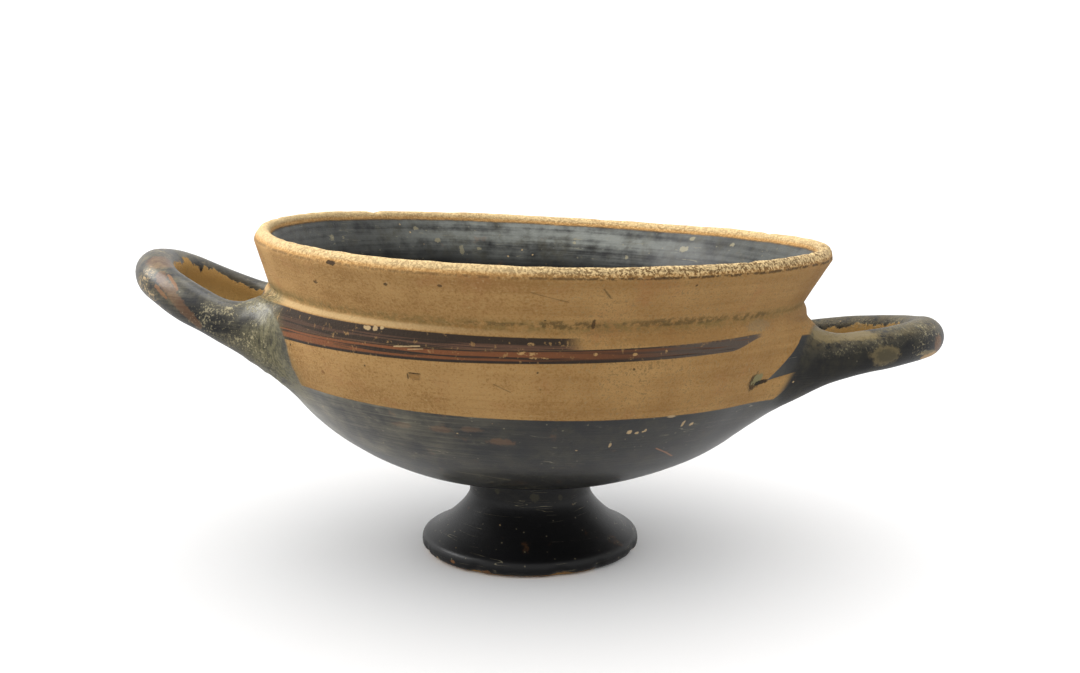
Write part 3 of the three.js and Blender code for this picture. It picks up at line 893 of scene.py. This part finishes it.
# The bands under the ridge, and where they lie
def paintBands(at, colour):
    bandFoot = (at.turn + math.radians(5)).math("COSINE") * pp["bandWave"] + pp["bandFoot"]
    inBand = at.height + at.edge * 0.25 - bandFoot
    head = pp["bandHeight"]
    onWall = both(at.outside, 1 - at.onRod)
    brush = grain(stretch(at.onWheel, 0.02, 1), 0.7, 3, 0.55, 71)
    narrowing = between(at.angle, -51, -42) * 2
    band = both(between(inBand - narrowing, -0.08, 0.08), between(inBand, head + 0.08, head - 0.08))
    band = both(band, between((at.angle + 27).math("ABSOLUTE") + at.wander * 8, 13, 17))
    band = both(band, onWall)
    middle = strip(inBand, pp["bandLine"], pp["bandLine"] + 0.3, head - 0.45, head - 0.1)
    brown = middle * between(brush, 0.38, 0.5) * (0.6 + between(at.angle, -72, -92) * 0.4)
    bandTone = blend(cf["bandDark"], cf["bandBrown"], brown)
    rubbed = between(at.angle, -76, -58) * between(at.fineStreak, 0.35, 0.5)
    bandTone = blend(bandTone, cf["bandWorn"], rubbed)
    upper = both(between(inBand, head - 0.08, head + 0.08),
                 between(at.height + at.edge * 0.35, pp["upperLineHead"] + 0.12, pp["upperLineHead"] - 0.12))
    upper = both(upper, either(between(at.angle + at.wander * 6, -80, -84), between(at.angle, 4, 12)))
    upper = both(upper, onWall)
    upperLine = between(at.height + at.edge * 0.4, pp["upperLineFoot"] - 0.25, pp["upperLineFoot"] + 0.15)
    dark = either(upperLine, between(brush, 0.56, 0.46))
    upperTone = blend(cf["bandGrey"], cf["bandDark"], either(dark, between(at.angle, -106, -132) * 0.6))
    worn = between(at.gravel + at.patches * 0.3, 0.75, 0.84)
    colour = blend(colour, upperTone, upper * (1 - worn * 0.6) * 0.95)
    colour = blend(colour, bandTone, band * (1 - worn * 0.5) * 0.96)
    return colour, either(upper, band)


# Grey, finely cracked clay and crust where the left handle meets the wall, wear at its tip,
# and crust and dust on top of the right handle
def paintRoots(at, colour):
    joint = both(both(between(at.gap + at.rodGap, 8, 2.5), at.onLeft), at.outside)
    colour = blend(colour, cf["jointGrey"], joint * between(at.patches, 0.3, 0.55) * 0.85)
    cracks = (grain(stretch(at.onWheel, 1.4, 0.22), 1.5, 2, 0.5, 91) - 0.5).math("ABSOLUTE")
    cracks = between(cracks, 0.07, 0.02) * joint
    colour = blend(colour, cf["slipBlack"], cracks * 0.75)
    rootCrust = both(between(at.rodFromEnd, 24, 12), at.onLeft)
    topCrust = both(both(between(at.rodUp, 0.1, 0.5), between(at.rodFromEnd, 13, 20)), 1 - at.onLeft) * 0.55
    crust = either(joint * 0.8, both(either(rootCrust, topCrust), at.onRod))
    crust = crust * at.crumbs * between(at.height, 45, 51)
    tipWear = at.onRod * between(at.x, -79, -86) * between(at.gravel * 0.6 + at.patches * 0.4, 0.48, 0.6)
    colour = blend(colour, cf["dust"], tipWear * 0.28)
    colour = blend(colour, cf["crust"], crust * 0.7)
    dust = at.onRod * (1 - at.onLeft) * between(at.rodUp, 0.35, 0.9) * between(at.gravel, 0.35, 0.55)
    colour = blend(colour, cf["dust"], dust * 0.3)
    relief = crust * 0.8 - cracks * 0.8 - at.pinholes * 0.7 - at.lipPits * 0.9 - at.scratches * 0.2
    return colour, relief, joint, either(crust, dust)


def paintMarks(at, colour, relief):
    wallPlace = Field.make("CombineXYZ", {}, {0: at.across, 1: at.height, 2: 0})
    wobble = at.ragged * 1.6 + at.wander * 0.5
    for angle, height, long, high, name, strength, stand in wallMarks:
        centre = (math.radians(angle) * vs["shoulderRadius"], height, 0)
        mask = both(markMask(wallPlace, centre, (long, high, 1), wobble), at.outside)
        if name in ("dirt", "clayPale"):
            mask = mask * between(at.gravel, 0.4, 0.52)
        colour = blend(colour, cf[name], mask * strength)
        if stand:
            relief = relief + mask * stand
    for angle, height, long, high in insideSpots:
        centre = (math.radians(angle) * vs["shoulderRadius"], height, 0)
        mask = both(markMask(wallPlace, centre, (long, high, 1), wobble * 1.8), at.within)
        colour = blend(colour, cf["crust"], mask * 0.45)
    for centre, halves, name, strength in rodMarks:
        mask = markMask(at.onWheel, rodChain(centre)[0], halves, at.ragged * 1.2 + at.wander * 0.8)
        if name in ("chip", "crust"):
            mask = mask * at.crumbs
        mask = both(mask, between(at.rodGap, 2.6, 1.6))
        colour = blend(colour, cf[name], mask * strength)
    for points, halfWidth, name, strength, stand in strokes:
        mask = both(strokeMask(at.onWheel, points, halfWidth, wobble), at.outside)
        colour = blend(colour, cf[name], mask * strength)
        if stand:
            relief = relief + mask * stand
    return colour, relief


# The slip shines a little on the bowl, and less on the foot, inside, on the rods, under crust
# and at the right
def slipShine(at, black, joint, crusted):
    coat = cf["footCoat"] + between(at.height, 13, 27) * (cf["slipCoat"] - cf["footCoat"])
    coat = black * (coat - at.within * (cf["slipCoat"] - cf["insideCoat"])) * (1 - crusted)
    return coat * (1 - between(at.x, 50, 62) * 0.6) * (1 - either(joint * 0.9, at.onRod * 0.6))


def paintClay(material):
    material.use_nodes = True
    Field.tree = material.node_tree
    Field.tree.nodes.clear()
    at = readPatterns()
    black = slipCover(at)
    colour, banded = paintBands(at, bareClay(at))
    colour = blend(colour, wornSlip(at), black)
    colour, relief, joint, crusted = paintRoots(at, colour)
    colour, relief = paintMarks(at, colour, relief)
    coat = either(slipShine(at, black, joint, crusted), banded * cf["bandCoat"])
    roughness = cf["clayRoughness"] + black * (cf["slipRoughness"] - cf["clayRoughness"])
    heights = at.sand * 1.5 + at.gravel * at.frontRight * 0.5 + at.lipRough * at.sand * 1.6
    heights = heights * (1 - black * 0.8) + at.fineStreak * 0.25 + at.slowStreak * 0.2 + black * 0.1 + relief
    bump = Field.make("Bump", {}, {"Strength": 1, "Distance": cf["grainDepth"] * mm, "Height": heights})
    shader = Field.make("BsdfPrincipled", {}, {
        "Base Color": colour, "Roughness": roughness, "Normal": bump, "Coat Weight": coat,
        "Coat Roughness": cf["coatRoughness"], "Specular IOR Level": cf["gloss"],
    })
    output = Field.tree.nodes.new("ShaderNodeOutputMaterial")
    Field.tree.links.new(shader.socket, output.inputs["Surface"])


slippedClay = bpy.data.materials.new("slippedClay")
paintClay(slippedClay)
vessel.data.materials.clear()
vessel.data.materials.append(slippedClay)
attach(vessel, "root")
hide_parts("cup")
print("the clay is painted")


# Studio
studioSizes = {
    "floorRadius": 6000, "floorTone": tone(253, 253, 253), "worldStrength": 1.35,
    # name, place in millimetres from the foot, side of the square panel, power in watts
    "panels": (
        ("keyPanel", (-560, 60, 520), 420, 8.5),
        ("topPanel", (60, 260, 820), 520, 6),
    ),
}
st = studioSizes


def makeStudio():
    studio = turnOutline("studio", line((0, 0), (st["floorRadius"], 0), 6), 96)
    writePlaces(studio.data, (readPlaces(studio.data) + footAxis * [1, 1, 0]) * mm)
    paper = bpy.data.materials.new("paper")
    paper.use_nodes = True
    sheet = paper.node_tree.nodes["Principled BSDF"]
    sheet.inputs["Base Color"].default_value = st["floorTone"]
    sheet.inputs["Roughness"].default_value = 0.9
    studio.data.materials.append(paper)


# The panels light the cup alone, so that the floor stays evenly pale
def makeLights():
    target = Vector((footAxis[0], footAxis[1], 45)) * mm
    litByPanels = bpy.data.collections.new("litByPanels")
    litByPanels.objects.link(vessel)
    for name, place, side, power in st["panels"]:
        location = Vector((footAxis[0] + place[0], footAxis[1] + place[1], place[2])) * mm
        bpy.ops.object.light_add(type="AREA", location=location)
        panel = bpy.context.object
        panel.name = name
        panel.data.energy = power
        panel.data.size = side * mm
        panel.light_linking.receiver_collection = litByPanels
        panel.rotation_euler = (target - location).to_track_quat("-Z", "Y").to_euler()
    world = bpy.context.scene.world or bpy.data.worlds.new("world")
    bpy.context.scene.world = world
    world.use_nodes = True
    sky = world.node_tree.nodes["Background"]
    sky.inputs["Color"].default_value = (1, 1, 1, 1)
    sky.inputs["Strength"].default_value = st["worldStrength"]
    bpy.context.scene.view_settings.view_transform = "Standard"


cameraPlace = {"right": 2.49, "back": -345.4, "up": 115.3, "tilt": 79.61, "lens": 48.6}


def makeCamera():
    place = (footAxis[0] + cameraPlace["right"], footAxis[1] + cameraPlace["back"], cameraPlace["up"])
    bpy.ops.object.camera_add(location=Vector(place) * mm, rotation=(math.radians(cameraPlace["tilt"]), 0, 0))
    camera = bpy.context.object
    camera.data.lens = cameraPlace["lens"]
    camera.data.clip_start = 0.01
    bpy.context.scene.camera = camera


makeStudio()
makeLights()
makeCamera()
print("the studio is set")
